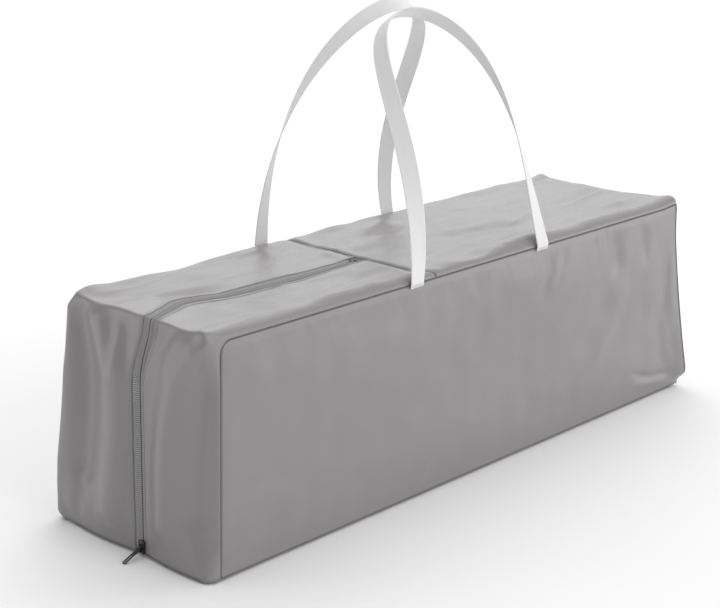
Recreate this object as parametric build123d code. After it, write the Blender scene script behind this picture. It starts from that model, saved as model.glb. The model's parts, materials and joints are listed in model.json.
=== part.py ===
from build123d import *
import os
from math import atan, cos, degrees, pi, radians, sin, sqrt

# A folding playpen packed away in its zipped carry bag.
# Millimetres. Origin: middle of the bag's base, on the floor. +X along the bag away from the zipped
# end, +Y across it towards the back handle, +Z up. "Depth" is measured inwards from the bag's skin.

# ---- bag ----
LENGTH = 820.0  # at the floor
WIDTH = 250.0  # at the floor
HEIGHT = 255.0
LEFT_LEAN = 21.0  # how far the zipped end has come inwards at the top
RIGHT_LEAN = 12.0
SIDE_LEAN = 11.5
FABRIC = 1.6  # lined bag cloth, as a solid
UPRIGHT_RADIUS = 14.0
TOP_RADIUS = 12.0
BASE_RADIUS = 5.0
BASE_SEAM = 3.0  # height at which the base cloth meets the walls
WELT = 2.0  # width of the seam binding round each side panel
WELT_PROUD = 0.8
PANEL_IN_LEFT = 15.0  # from the bag's corners to the seam binding
PANEL_IN_RIGHT = 7.0
PANEL_IN_TOP = 8.0

# ---- zip ----
ZIP_FOOT_Y = -19.5  # where the zip reaches the floor
ZIP_DRIFT = 15.0  # how far its straight lower run would drift over the bag's height
ZIP_BEND_Z = 190.0  # above this it turns back towards the front
ZIP_TOP_Y = -19.0
TAPE_HALF = 14.0
TAPE_THICK = 0.8
ZIP_SLOT_HALF = 10.0  # the cloth's edges stand this far from the middle of the zip
COIL_IN = 0.8
COIL_OUT = 3.0
COIL_DEPTH = 0.2
CROSS_SEAM_X = -84.0
CROSS_SEAM = 4.0
SEAM_PROUD = 0.5
CORNER_X = -374.0  # where the top run of the zip turns into the end run
SLIDER_START = 5.5
SLIDER_LONG = 12.7
SLIDER_WIDE = 9.0
SLIDER_GAP = 0.3
SLIDER_PLATE = 1.9
POST_WIDE = 1.0
POST_LONG = 4.0
INNER_PLATE = 1.5
LIP = 0.9  # the outer plate's turned-in edges
BRIDGE_WIDE = 2.4
BRIDGE_HIGH = 2.6
BRIDGE_BAR = 1.0
BRIDGE_ENDS = (0.5, 8.5)  # from the slider's lower edge
BRIDGE_LEG = 1.2
PIVOT_UP = 4.5  # from the slider's lower edge to the pull's bar
PULL_LONG = 25.0
PULL_WIDE = 5.0
PULL_THICK = 1.2
PULL_EYE = 4.6  # length of the eye that the bridge passes through
PULL_EYE_HALF = 1.6
PULL_BAR_R = 0.5
PULL_SLOT = (12.0, 20.0)
PULL_SLOT_HALF = 1.1
BOTTOM_STOP = (3.6, 4.8)  # its lower and upper edge
STOP_OUT = 1.4
STOP_RISE = 0.4
STOP_LONG = 3.0
COIL_ENDS = 18.0  # the coils end this far before the cross seam
TAB_HALF = 8.0
PULL_DROOP = 26.4  # degrees below the slider's outward direction

# ---- handles ----
STRAP_WIDE = 20.0
STRAP_THICK = 1.6
FOOT_LOW = 242.5
FOOT_TOP = 248.0
FOOT_STANDS = 2.5  # how far the sewn ends stand out from the wall
HINGE_OUT = 3.3
HINGE_Z = 249.5
STRAP_SECTIONS = 40
TWIST_EASE = 0.15
LEAN_TOP = 38.0  # degrees each strap's face leans towards the other at the top of its arch
CURVE_STEPS = 400  # fine steps for measuring along the curve
# Control points of each strap's arch, a degree 5 curve, after the first and before the last point.
FRONT_FEET = (-96.0, 121.0)
FRONT_ARCH = [(-87, -128, 541), (-130, 124, 518), (118, -49, 597), (106, -60, 461)]
BACK_FEET = (-113.0, 101.0)
BACK_ARCH = [(-106, 105, 483), (-59, -31, 608), (129, -88, 560), (90, 156, 453)]

# ---- folded playpen ----
PACK_LEFT = -376.0
PACK_LONG = 752.0
PACK_WIDE = 212.0
PACK_LOW = 6.0
PACK_HIGH = 238.0
BOARD = 18.0  # mattress panel thickness
BOARD_GAP = 1.0
BOARD_ROUND = 4.0
PACK_STRAP_X = 200.0
PACK_STRAP = 40.0
PACK_STRAP_THICK = 1.8
PACK_STRAP_OFF = 0.2
PACK_Z = (PACK_LOW + PACK_HIGH) / 2
POST_Y = 62.0
POST_DZ = 72.0
POST_R = 12.5
TUBE_WALL = 1.5
RAIL_Y = 25.0
RAIL_DZ = 28.0
RAIL_R = 9.5
LEG_OFF = 28.0
LEG_R = 8.0
CAP_LEFT = -350.0
CAP_LONG = 60.0
CAP_SIZE = 44.0
MOULDED_ROUND = 8.0
EAR = (20.0, 40.0)  # where a cap's ears start and end along the bag, from the cap's left face
FRAME_RIGHT = 350.0
FOOT_LONG = 40.0
FOOT_SIZE = 40.0
FOOT_ARM = 15.0
POST_RIGHT = FRAME_RIGHT - 12.0  # where the posts end inside the feet
LEG_RIGHT = FRAME_RIGHT - 25.0
LOCK_X = 250.0
LOCK_LONG = 46.0
LOCK_WALL = 3.0
HUB_X = 30.0
HUB_LONG = 40.0
HUB_R = 44.0
WALLS_X = (-305.0, 25.0)
WALLS_HALF_Y = 38.0
WALLS_HALF_Z = 46.0



def wall_x(z, depth, side):
    """Where an end wall stands at a height: side -1 is the zipped end, +1 the closed one."""
    lean = LEFT_LEAN if side < 0 else RIGHT_LEAN
    slope = lean / HEIGHT
    return side * (LENGTH / 2 - slope * z - depth * sqrt(1 + slope * slope))


def wall_y(z, depth=0.0):
    """How far a long wall stands from the middle at a height."""
    slope = SIDE_LEAN / HEIGHT
    return WIDTH / 2 - slope * z - depth * sqrt(1 + slope * slope)


def block(depth):
    """The bag's whole form, inside the skin by depth."""
    levels = []
    for z in (depth, HEIGHT - depth):
        left, right, y = wall_x(z, depth, -1), wall_x(z, depth, 1), wall_y(z, depth)
        corners = [(left, -y, z), (right, -y, z), (right, y, z), (left, y, z)]
        levels.append(make_face(Polyline(*corners, close=True)))
    form = loft(levels, ruled=True)
    uprights = [e for e in form.edges() if abs(e.tangent_at(0.5).Z) > 0.5]
    form = fillet(uprights, UPRIGHT_RADIUS - depth)
    rim = [e for e in form.edges() if e.bounding_box().min.Z > HEIGHT - depth - 0.1]
    form = fillet(rim, TOP_RADIUS - depth)
    foot = [e for e in form.edges() if e.bounding_box().max.Z < depth + 0.1]
    return fillet(foot, BASE_RADIUS - depth)


def layer(outer, inner):
    """The skin between two depths."""
    return block(outer) - block(inner)


def side_outline(extra):
    """The front side panel's outline, in X and Z, grown by extra all round."""
    low, high = BASE_SEAM + WELT - extra, HEIGHT - PANEL_IN_TOP - WELT + extra
    in_left, in_right = PANEL_IN_LEFT + WELT - extra, PANEL_IN_RIGHT + WELT - extra
    corners = [
        (wall_x(low, 0, -1) + in_left, low),
        (wall_x(low, 0, 1) - in_right, low),
        (wall_x(high, 0, 1) - in_right, high),
        (wall_x(high, 0, -1) + in_left, high),
    ]
    outline = Plane.XZ * make_face(Polyline(*[(x, z, 0) for x, z in corners], close=True))
    rounded = [v for v in outline.vertices() if v.X < 0 and v.Z > HEIGHT / 2]
    return fillet(rounded, UPRIGHT_RADIUS + extra)


def side_prism(extra):
    """The outline pushed through the front wall."""
    return extrude(side_outline(extra).moved(Location((0, -WIDTH / 2 - 8, 0))), amount=28, dir=(0, 1, 0))


def span(x0, x1, y0, y1, z0, z1):
    """A box from its six faces."""
    return Pos((x0 + x1) / 2, (y0 + y1) / 2, (z0 + z1) / 2) * Box(x1 - x0, y1 - y0, z1 - z0)


# The zipped end's own axes: local X runs across the zip towards the front, Y up along it, Z outwards.
ZIP_FOOT = Vector(-LENGTH / 2, ZIP_FOOT_Y, 0)
ZIP_RISE = Vector(LEFT_LEAN, ZIP_DRIFT, HEIGHT)
ZIP_UP = ZIP_RISE.normalized()
END_OUT = Vector(-HEIGHT, 0, LEFT_LEAN).normalized()
ZIP_ACROSS = ZIP_UP.cross(END_OUT).normalized()
ZIP_PLANE = Plane(origin=ZIP_FOOT, x_dir=ZIP_ACROSS, z_dir=END_OUT)
ZIP_BEND = ZIP_FOOT + ZIP_RISE * (ZIP_BEND_Z / HEIGHT)
UPPER_UP = (Vector(wall_x(HEIGHT, 0, -1), ZIP_TOP_Y, HEIGHT) - ZIP_BEND).normalized()
UPPER_PLANE = Plane(origin=ZIP_BEND, x_dir=UPPER_UP.cross(END_OUT), z_dir=END_OUT)
BEND_PLANE = Plane(origin=ZIP_BEND, x_dir=(ZIP_UP + UPPER_UP).cross(END_OUT), z_dir=END_OUT)
SLIDER_FACE = SLIDER_GAP - COIL_DEPTH
SLIDER_OUTER = SLIDER_FACE + SLIDER_PLATE
PIVOT_OUT = SLIDER_OUTER + (BRIDGE_HIGH - BRIDGE_BAR) / 2
PULL_PLANE = ZIP_PLANE * Pos(0, SLIDER_START + PIVOT_UP, PIVOT_OUT) * Rot(PULL_DROOP, 0, 0)


def zip_span(across0, across1, up0, up1, out0, out1):
    """A box in the zipped end's own axes."""
    return ZIP_PLANE * span(across0, across1, up0, up1, out0, out1)


def zip_side(near, far, side, right):
    """Everything on one side of the zip between two distances from it, round the corner to x = right."""
    a, b = sorted((side * near, side * far))
    lower = zip_span(a, b, -20, 290, -60, 20) & BEND_PLANE * span(-300, 300, -300, 0, -90, 90)
    upper = UPPER_PLANE * span(a, b, -60, 90, -60, 20) & BEND_PLANE * span(-300, 300, 0, 200, -90, 90)
    end = (lower + upper) & span(-500, CORNER_X, -200, 200, BASE_SEAM, HEIGHT + 20)
    top = span(CORNER_X, right, ZIP_TOP_Y - b, ZIP_TOP_Y - a, HEIGHT - 20, HEIGHT + 20)
    return end + top


def mirrored(part):
    return mirror(part, about=Plane.XZ)


def bag_panels():
    """The cloth pieces that make up the bag."""
    skin = layer(0, FABRIC)
    panel_form = side_prism(0)
    bound_form = side_prism(WELT)
    band = skin - bound_form - mirrored(bound_form)
    walls = band & span(-500, 500, -200, 200, BASE_SEAM, 300)
    seam_end = CROSS_SEAM_X + CROSS_SEAM
    parts = {
        "side_panel_front": skin & panel_form,
        "seam_binding_front": layer(-WELT_PROUD, FABRIC) & (bound_form - panel_form),
        "base_panel": band & span(-500, 500, -200, 200, -5, BASE_SEAM),
        "closed_gusset": walls & span(seam_end, 500, -200, 200, 0, 300),
    }
    for name in ("side_panel", "seam_binding"):
        parts[name + "_back"] = mirrored(parts[name + "_front"])
    for side, name in ((1, "front"), (-1, "back")):
        parts["zip_gusset_" + name] = walls & zip_side(ZIP_SLOT_HALF, 200, side, CROSS_SEAM_X)
    strip = layer(-SEAM_PROUD, FABRIC) - bound_form - mirrored(bound_form)
    parts["cross_seam"] = strip & span(CROSS_SEAM_X, seam_end, -200, 200, HEIGHT - 30, HEIGHT + 5)
    return parts


def zip_chain():
    """Tapes, coils and stops of the zip."""
    tape = layer(FABRIC, FABRIC + TAPE_THICK)
    coil = layer(COIL_DEPTH, FABRIC)
    coil_right = CROSS_SEAM_X - COIL_ENDS
    parts = {}
    for side, name in ((1, "front"), (-1, "back")):
        parts["zip_tape_" + name] = tape & zip_side(COIL_IN, TAPE_HALF, side, CROSS_SEAM_X)
        parts["zip_coil_" + name] = coil & zip_side(COIL_IN, COIL_OUT, side, coil_right)
    parts["zip_bottom_stop"] = zip_span(-COIL_OUT, COIL_OUT, *BOTTOM_STOP, SLIDER_FACE, STOP_OUT)
    stop_right = coil_right + STOP_LONG
    low = HEIGHT - FABRIC
    stop = span(coil_right, stop_right, -COIL_OUT, COIL_OUT, low, HEIGHT + STOP_RISE)
    tab = span(stop_right + 2, CROSS_SEAM_X, -TAB_HALF, TAB_HALF, low, HEIGHT - COIL_DEPTH)
    parts["zip_top_stop"] = Pos(0, ZIP_TOP_Y, 0) * stop
    parts["zip_end_tab"] = Pos(0, ZIP_TOP_Y, 0) * tab
    return parts


def zip_slider():
    """Two plates joined by a post between the coils, with a bridge for the pull."""
    low, high = SLIDER_START, SLIDER_START + SLIDER_LONG
    half, post, bridge = SLIDER_WIDE / 2, POST_WIDE / 2, BRIDGE_WIDE / 2
    body = zip_span(-half, half, low, high, SLIDER_FACE, SLIDER_OUTER)
    outward = Axis((0, 0, 0), (END_OUT.X, END_OUT.Y, END_OUT.Z))
    body = fillet(body.edges().filter_by(outward), 2.0)
    inner = -FABRIC - TAPE_THICK - SLIDER_GAP
    body += zip_span(-post, post, high - POST_LONG - 1, high - 1, inner - 1, SLIDER_FACE + 0.5)
    body += zip_span(-half, half, low, high, inner - INNER_PLATE, inner)
    for side in (-1, 1):
        a, b = sorted((side * half, side * (half - LIP)))
        body += zip_span(a, b, low + 2, high - 2, SLIDER_FACE - 0.7, SLIDER_FACE + 0.2)
    under = SLIDER_OUTER + BRIDGE_HIGH - BRIDGE_BAR
    start, end = low + BRIDGE_ENDS[0], low + BRIDGE_ENDS[1]
    body += zip_span(-bridge, bridge, start, end, under, under + BRIDGE_BAR)
    for leg in (start, end - BRIDGE_LEG):
        body += zip_span(-bridge, bridge, leg, leg + BRIDGE_LEG, SLIDER_OUTER - 0.2, under + 0.2)
    return body


def zip_pull():
    """A flat tag: a round bar under the bridge, two arms beside it and a plate with a slot."""
    half, thick = PULL_WIDE / 2, PULL_THICK / 2
    tag = span(-half, half, -thick, thick, 0, PULL_LONG)
    tip = [e for e in tag.edges() if e.bounding_box().min.Z > PULL_LONG - 0.1 and e.length < 2]
    tag = fillet(tip, 2.0)
    tag -= span(-PULL_EYE_HALF, PULL_EYE_HALF, -2, 2, -1, PULL_EYE)
    tag -= span(-PULL_SLOT_HALF, PULL_SLOT_HALF, -2, 2, *PULL_SLOT)
    bar = Rot(0, 90, 0) * Cylinder(PULL_BAR_R, PULL_WIDE - 0.4)
    return PULL_PLANE * (tag + bar)


def arch_point(points, t):
    """A point on a degree 5 curve from its six control points, and the direction there."""
    place, way = Vector(0, 0, 0), Vector(0, 0, 0)
    for i, (point, weight) in enumerate(zip(points, (1, 5, 10, 10, 5, 1))):
        place += point * (weight * t**i * (1 - t) ** (5 - i))
    for i, weight in enumerate((1, 4, 6, 4, 1)):
        way += (points[i + 1] - points[i]) * (5 * weight * t**i * (1 - t) ** (4 - i))
    return place, way.normalized()


def from_top(share):
    """0 at the top of the arch and 1 at either foot, rounded off at the top."""
    return (sqrt(share**2 + TWIST_EASE**2) - TWIST_EASE) / (sqrt(1 + TWIST_EASE**2) - TWIST_EASE)


def strap_sections(points, side):
    """Planes across the strap. Its face looks outwards at the feet and upwards at the top."""
    steps = [arch_point(points, i / CURVE_STEPS)[0] for i in range(CURVE_STEPS + 1)]
    along = [0.0]
    for a, b in zip(steps, steps[1:]):
        along.append(along[-1] + (b - a).length)
    planes = []
    for k in range(STRAP_SECTIONS + 1):
        target = along[-1] * k / STRAP_SECTIONS
        i = min(max(j for j, done in enumerate(along) if done <= target), CURVE_STEPS - 1)
        t = (i + (target - along[i]) / (along[i + 1] - along[i])) / CURVE_STEPS
        place, way = arch_point(points, t)
        share = 2 * k / STRAP_SECTIONS - 1
        lean = radians(LEAN_TOP) * (1 - share**2)
        across = Vector(0, cos(lean), side * sin(lean))
        across = (across - way * way.dot(across)).normalized()
        outward = way.cross(across)
        turn = pi / 2 * from_top(share)
        face = outward * cos(turn) + across * (side * sin(turn))
        planes.append(Plane(origin=place, x_dir=way.cross(face), z_dir=way))
    return planes


def handle(feet, arch, side):
    """A webbing loop that turns a quarter on its way up and back on its way down."""
    y = side * (wall_y(HINGE_Z) + HINGE_OUT)
    points = [Vector(feet[0], y, HINGE_Z)] + [Vector(*p) for p in arch] + [Vector(feet[1], y, HINGE_Z)]
    sections = [plane * Rectangle(STRAP_WIDE, STRAP_THICK) for plane in strap_sections(points, side)]
    return loft(sections, ruled=True)


def handle_feet(feet, side, binding):
    """The two sewn ends of a strap, flat on the outside of the wall."""
    middle = (FOOT_LOW + FOOT_TOP) / 2
    lean = degrees(atan(SIDE_LEAN / HEIGHT))
    ends = []
    for x in feet:
        centre = Pos(x, side * wall_y(middle, -FOOT_STANDS / 2), middle) * Rot(side * lean, 0, 0)
        ends.append(centre * Box(STRAP_WIDE, FOOT_STANDS, FOOT_TOP - FOOT_LOW) - binding)
    return Compound([s for end in ends for s in end.solids()])


def tube(x0, x1, y, z, radius):
    """A round tube along the bag."""
    ring = Circle(radius) - Circle(radius - TUBE_WALL)
    return Plane.YZ.offset(x0) * Pos(y, z) * extrude(ring, amount=x1 - x0)


def mattress():
    """Four padded boards wrapped round the folded frame, and the two straps that hold them."""
    half, right = PACK_WIDE / 2, PACK_LEFT + PACK_LONG
    boards = {
        "base": span(PACK_LEFT, right, -half, half, PACK_LOW, PACK_LOW + BOARD),
        "top": span(PACK_LEFT, right, -half, half, PACK_HIGH - BOARD, PACK_HIGH),
    }
    low, high = PACK_LOW + BOARD + BOARD_GAP, PACK_HIGH - BOARD - BOARD_GAP
    boards["front"] = span(PACK_LEFT, right, -half, -half + BOARD, low, high)
    boards["back"] = span(PACK_LEFT, right, half - BOARD, half, low, high)
    parts = {"mattress_panel_" + name: fillet(board.edges(), BOARD_ROUND) for name, board in boards.items()}
    for x, name in ((-PACK_STRAP_X, "left"), (PACK_STRAP_X, "right")):
        inner = pack_ring(x, PACK_STRAP + 2, PACK_STRAP_OFF)
        parts["mattress_strap_" + name] = pack_ring(x, PACK_STRAP, PACK_STRAP_OFF + PACK_STRAP_THICK) - inner
    return parts


def pack_ring(x, long, off):
    """A rounded block round the whole mattress, off its faces by a distance."""
    half = PACK_WIDE / 2 + off
    ring = span(x - long / 2, x + long / 2, -half, half, PACK_LOW - off, PACK_HIGH + off)
    return fillet(ring.edges().filter_by(Axis.X), 3.3 + off)


def corner_cap(sy, sz):
    """Moulded corner that carries a post and the ends of two half rails."""
    y, z, half = sy * POST_Y, PACK_Z + sz * POST_DZ, CAP_SIZE / 2
    cap = span(CAP_LEFT, CAP_LEFT + CAP_LONG, y - half, y + half, z - half, z + half)
    cap = fillet(cap.edges().filter_by(Axis.X), MOULDED_ROUND)
    x0, x1 = CAP_LEFT + EAR[0], CAP_LEFT + EAR[1]
    to_y = sorted((sy * (RAIL_Y - RAIL_R), y))
    to_z = sorted((PACK_Z + sz * (RAIL_DZ - RAIL_R), z))
    cap += span(x0, x1, *to_y, z - RAIL_R, z + RAIL_R)
    cap += span(x0, x1, y - RAIL_R, y + RAIL_R, *to_z)
    return cap - tube_hole(CAP_LEFT + EAR[0], CAP_LEFT + CAP_LONG + 1, y, z, POST_R)


def tube_hole(x0, x1, y, z, radius):
    return Plane.YZ.offset(x0) * Pos(y, z) * extrude(Circle(radius), amount=x1 - x0)


def corner_foot(sy, sz):
    """Moulded foot on the lower end of a post, with a socket for its floor leg."""
    y, z, half = sy * POST_Y, PACK_Z + sz * POST_DZ, FOOT_SIZE / 2
    foot = span(FRAME_RIGHT - FOOT_LONG, FRAME_RIGHT, y - half, y + half, z - half, z + half)
    foot = fillet(foot.edges().filter_by(Axis.X), MOULDED_ROUND)
    leg_y, leg_z = sy * LEG_OFF, PACK_Z + sz * LEG_OFF
    across = sorted((leg_y - sy * LEG_R, y))
    height = sorted((leg_z - sz * LEG_R, z))
    arm = span(LEG_RIGHT, LEG_RIGHT + FOOT_ARM, *across, leg_z - LEG_R, leg_z + LEG_R)
    arm += span(LEG_RIGHT, LEG_RIGHT + FOOT_ARM, y - LEG_R, y + LEG_R, *height)
    return foot + arm - tube_hole(FRAME_RIGHT - FOOT_LONG - 1, POST_RIGHT, y, z, POST_R)


def folded_frame():
    """Posts, folded top rails with their centre locks, floor legs and hub, all lying along the bag."""
    parts = {}
    ear_right = CAP_LEFT + EAR[1]
    for number, (sy, sz) in enumerate(((-1, -1), (1, -1), (1, 1), (-1, 1)), 1):
        y, z = sy * POST_Y, PACK_Z + sz * POST_DZ
        parts[f"corner_cap_{number}"] = corner_cap(sy, sz)
        parts[f"corner_foot_{number}"] = corner_foot(sy, sz)
        parts[f"corner_post_{number}"] = tube(CAP_LEFT + EAR[0], POST_RIGHT, y, z, POST_R)
        parts[f"top_rail_{number}_long_half"] = tube(ear_right, LOCK_X, sy * RAIL_Y, z, RAIL_R)
        parts[f"top_rail_{number}_short_half"] = tube(ear_right, LOCK_X, y, PACK_Z + sz * RAIL_DZ, RAIL_R)
        leg = tube(HUB_X + HUB_LONG, LEG_RIGHT, sy * LEG_OFF, PACK_Z + sz * LEG_OFF, LEG_R)
        parts[f"floor_leg_{number}"] = leg
    right = LOCK_X + LOCK_LONG
    reach_y, reach_z = RAIL_Y + RAIL_R + LOCK_WALL, RAIL_DZ + RAIL_R + LOCK_WALL
    half = RAIL_R + LOCK_WALL
    for number, side in ((1, -1), (3, 1)):
        z, y = PACK_Z + side * POST_DZ, side * POST_Y
        flat = span(LOCK_X, right, -reach_y, reach_y, z - half, z + half)
        upright = span(LOCK_X, right, y - half, y + half, PACK_Z - reach_z, PACK_Z + reach_z)
        parts[f"rail_lock_{number}"] = fillet(flat.edges().filter_by(Axis.X), MOULDED_ROUND)
        parts[f"rail_lock_{number + 1}"] = fillet(upright.edges().filter_by(Axis.X), MOULDED_ROUND)
    hub = Plane.YZ.offset(HUB_X) * Pos(0, PACK_Z) * extrude(Circle(HUB_R), amount=HUB_LONG)
    parts["floor_hub"] = fillet(hub.edges(), 5)
    walls = span(*WALLS_X, -WALLS_HALF_Y, WALLS_HALF_Y, PACK_Z - WALLS_HALF_Z, PACK_Z + WALLS_HALF_Z)
    parts["folded_mesh_walls"] = fillet(walls.edges(), 12)
    return parts


def all_parts():
    parts = bag_panels()
    parts.update(zip_chain())
    parts["zip_slider"] = zip_slider()
    parts["zip_pull"] = zip_pull()
    for name, side, feet, arch in (("front", -1, FRONT_FEET, FRONT_ARCH), ("back", 1, BACK_FEET, BACK_ARCH)):
        parts["handle_" + name] = handle(feet, arch, side)
        parts["handle_feet_" + name] = handle_feet(feet, side, parts["seam_binding_" + name])
    parts.update(mattress())
    parts.update(folded_frame())
    return parts


os.makedirs("parts", exist_ok=True)
for node, part in all_parts().items():
    export_step(part, f"parts/{node}.step")
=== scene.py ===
import json
from math import comb, cos, hypot, pi, radians, sin

import bpy
import numpy as np
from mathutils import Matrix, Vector


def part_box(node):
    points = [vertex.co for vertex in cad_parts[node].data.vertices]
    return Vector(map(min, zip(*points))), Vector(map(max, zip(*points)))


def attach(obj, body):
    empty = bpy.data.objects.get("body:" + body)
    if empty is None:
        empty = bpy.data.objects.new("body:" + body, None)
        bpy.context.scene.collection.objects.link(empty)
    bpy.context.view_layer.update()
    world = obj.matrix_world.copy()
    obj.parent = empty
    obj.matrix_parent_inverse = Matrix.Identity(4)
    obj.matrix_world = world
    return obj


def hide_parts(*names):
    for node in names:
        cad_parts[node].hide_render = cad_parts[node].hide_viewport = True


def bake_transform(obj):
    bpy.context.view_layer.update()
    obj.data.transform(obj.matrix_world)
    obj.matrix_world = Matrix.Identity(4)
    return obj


# A folding playpen packed in its zipped carry bag. Places are worked out in millimetres, in the
# frame's axes, and every mesh is written in metres. +X runs away from the zipped end, +Y towards the
# back handle, +Z up. The zipped end is called left, the other end right.

MM = 0.001
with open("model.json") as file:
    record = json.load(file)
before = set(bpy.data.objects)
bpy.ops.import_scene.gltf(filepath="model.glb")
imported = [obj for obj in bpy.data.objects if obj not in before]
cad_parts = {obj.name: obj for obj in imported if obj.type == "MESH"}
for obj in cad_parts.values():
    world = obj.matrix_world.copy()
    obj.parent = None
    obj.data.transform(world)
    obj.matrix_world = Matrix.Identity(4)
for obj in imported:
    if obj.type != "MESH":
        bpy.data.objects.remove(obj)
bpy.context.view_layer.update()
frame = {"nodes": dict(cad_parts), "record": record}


def box_mm(name):
    """A node's lowest and highest corners."""
    return [np.array(corner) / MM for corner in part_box(name)]


# ---- sizes read from the frame ----
HALF_LONG, HALF_WIDE, BASE_SEAM = box_mm("base_panel")[1]
HEIGHT = box_mm("closed_gusset")[1][2]
CROSS_LOW, CROSS_HIGH = box_mm("cross_seam")
MIDDLE = np.array([0, 0, HEIGHT / 2])
SIDES = ((-1, "front"), (1, "back"))

# ---- the bag's form, as in the CAD ----
LEFT_LEAN = 21.0
RIGHT_LEAN = 12.0
SIDE_LEAN = 11.5
PANEL_IN_LEFT = 15.0
PANEL_IN_RIGHT = 1.2
PANEL_IN_TOP = 8.0
WELT = 2.0
TUCK = 0.8  # how far each cloth edge is tucked over the binding
CORNER_ROUND = 4.0  # the fold between top and ends, crisper than the CAD's
SEAM_ROUND = 16.0  # the side seam's top corner at the zipped end
SEAM_ROUND_RIGHT = 4.5
ROLL = 10.0  # how far the cloth takes to turn from the top or an end into a long wall
CLOTH = 0.9
CLOTH_STEP = 3.0  # spacing of the cloth meshes
WALL_BLEND = 7.0  # how far from an edge two walls' heights are mixed
GROOVE_DEPTH = 0.7  # the groove that the binding lies in
GROOVE_HALF = 1.4
BINDING_WIDE, BINDING_THICK = 0.75, 0.6  # half of each
BINDING_IN = 0.8
BASE_ROUND = 14.0  # the base's corners, seen from above
BASE_TURN = 4.0

# ---- zip, as in the CAD ----
ZIP_FOOT_Y = -19.5
ZIP_DRIFT = 15.0
ZIP_BEND_Z = 190.0
ZIP_TOP_Y = -19.0
SLOT_HALF = 10.0  # the slot in the cloth on the top
SLOT_END = (3.4, 11.5)  # and up the end, in front of the zip and behind it
TAPE_HALF = 14.0
TAPE_DEPTH = 1.25
TAPE_THICK = 0.6
RIB_PITCH = 2.2
RIB_IN = 0.6
RIB_HALF = 0.85
RIB_SLOT_GAP = 1.0
COIL_END_X = -102.0
STITCH = 3.0
THREAD = 0.32

# ---- handles, as in the CAD ----
STRAP_WIDE = 20.0
STRAP_THICK = 1.6
HINGE_Z = 249.5
HINGE_OUT = 3.3
FOOT_LOW = 242.5
FOOT_TOP = 248.0
FOOT_OUT = 1.4  # the middle of the webbing's thickness, out from the wall
TWIST_EASE = 0.15
LEAN_TOP = 38.0
FRONT_FEET = (-96.0, 121.0)
FRONT_ARCH = [(-87, -128, 541), (-130, 124, 518), (118, -49, 597), (106, -60, 461)]
BACK_FEET = (-113.0, 101.0)
BACK_ARCH = [(-106, 105, 483), (-59, -31, 608), (129, -88, 560), (90, 156, 453)]

# ---- folds: height, half width, share of the length that fades at each end, line ----
FRONT_FOLDS = (  # in X and Z
    (-1.3, 7, 0.4, [(150, 246), (136, 218), (112, 180)]),
    (-1.2, 6, 0.4, [(174, 246), (160, 218), (140, 184)]),
    (-2.6, 13, 0.4, [(258, 248), (268, 218), (272, 170)]),
    (2.0, 15, 0.4, [(304, 246), (292, 210), (276, 160), (230, 96), (170, 50)]),
    (-1.6, 9, 0.4, [(322, 248), (330, 216), (334, 170)]),
    (2.0, 7, 0.3, [(392, 205), (386, 140), (390, 60)]),
    (1.6, 8, 0.3, [(372, 120), (380, 60), (396, 20)]),
    (1.5, 10, 0.3, [(-380, 40), (-350, 70), (-300, 86)]),
    (-1.9, 4.5, 0.3, [(290, 46), (340, 31), (402, 22)]),
    (1.3, 6, 0.3, [(290, 30), (345, 18), (400, 12)]),
)
BACK_FOLDS = (  # in X and Z
    (1.8, 9, 0.3, [(-360, 220), (-330, 180), (-322, 120)]),
    (1.6, 9, 0.3, [(300, 232), (332, 196), (350, 130)]),
    (1.4, 12, 0.3, [(-60, 238), (-30, 190), (10, 165)]),
)
LEFT_FOLDS = (  # in Y and Z
    (6.5, 19, 0.08, [(68, 258), (46, 218), (30, 186), (25, 128), (27, 70), (34, 14)]),
    (-5.0, 17, 0.1, [(98, 252), (86, 216), (76, 178), (74, 120), (78, 50)]),
    (2.4, 12, 0.2, [(110, 200), (106, 130), (108, 60), (112, 16)]),
    (2.8, 7, 0.3, [(27, 254), (23, 226), (24, 198), (25, 176)]),
    (7.5, 20, 0.1, [(-98, 256), (-86, 232), (-68, 205), (-60, 150), (-57, 96), (-60, 20)]),
    (-5.5, 14, 0.15, [(-112, 236), (-104, 190), (-98, 120), (-100, 40)]),
    (2.6, 8, 0.3, [(-74, 254), (-58, 228), (-46, 200)]),
    (-1.6, 14, 0.3, [(-36, 224), (-24, 150), (-24, 90), (-28, 40)]),
    (2.6, 3.5, 0.15, [(-118, 246), (-102, 238), (-90, 226)]),
    (-2.6, 4, 0.15, [(-116, 236), (-104, 228), (-96, 214)]),
    (2.0, 9, 0.3, [(60, 64), (70, 36), (84, 14)]),
    (2.1, 8, 0.3, [(92, 60), (98, 34), (104, 12)]),
)
RIGHT_FOLDS = (  # in Y and Z
    (2.4, 8, 0.2, [(-104, 240), (-84, 200), (-74, 140), (-80, 60)]),
    (-2.0, 7, 0.3, [(-92, 244), (-62, 222), (-50, 190)]),
    (2.2, 8, 0.2, [(98, 244), (78, 196), (70, 130), (78, 50)]),
    (1.5, 9, 0.3, [(10, 240), (4, 190), (12, 130)]),
)
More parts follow.
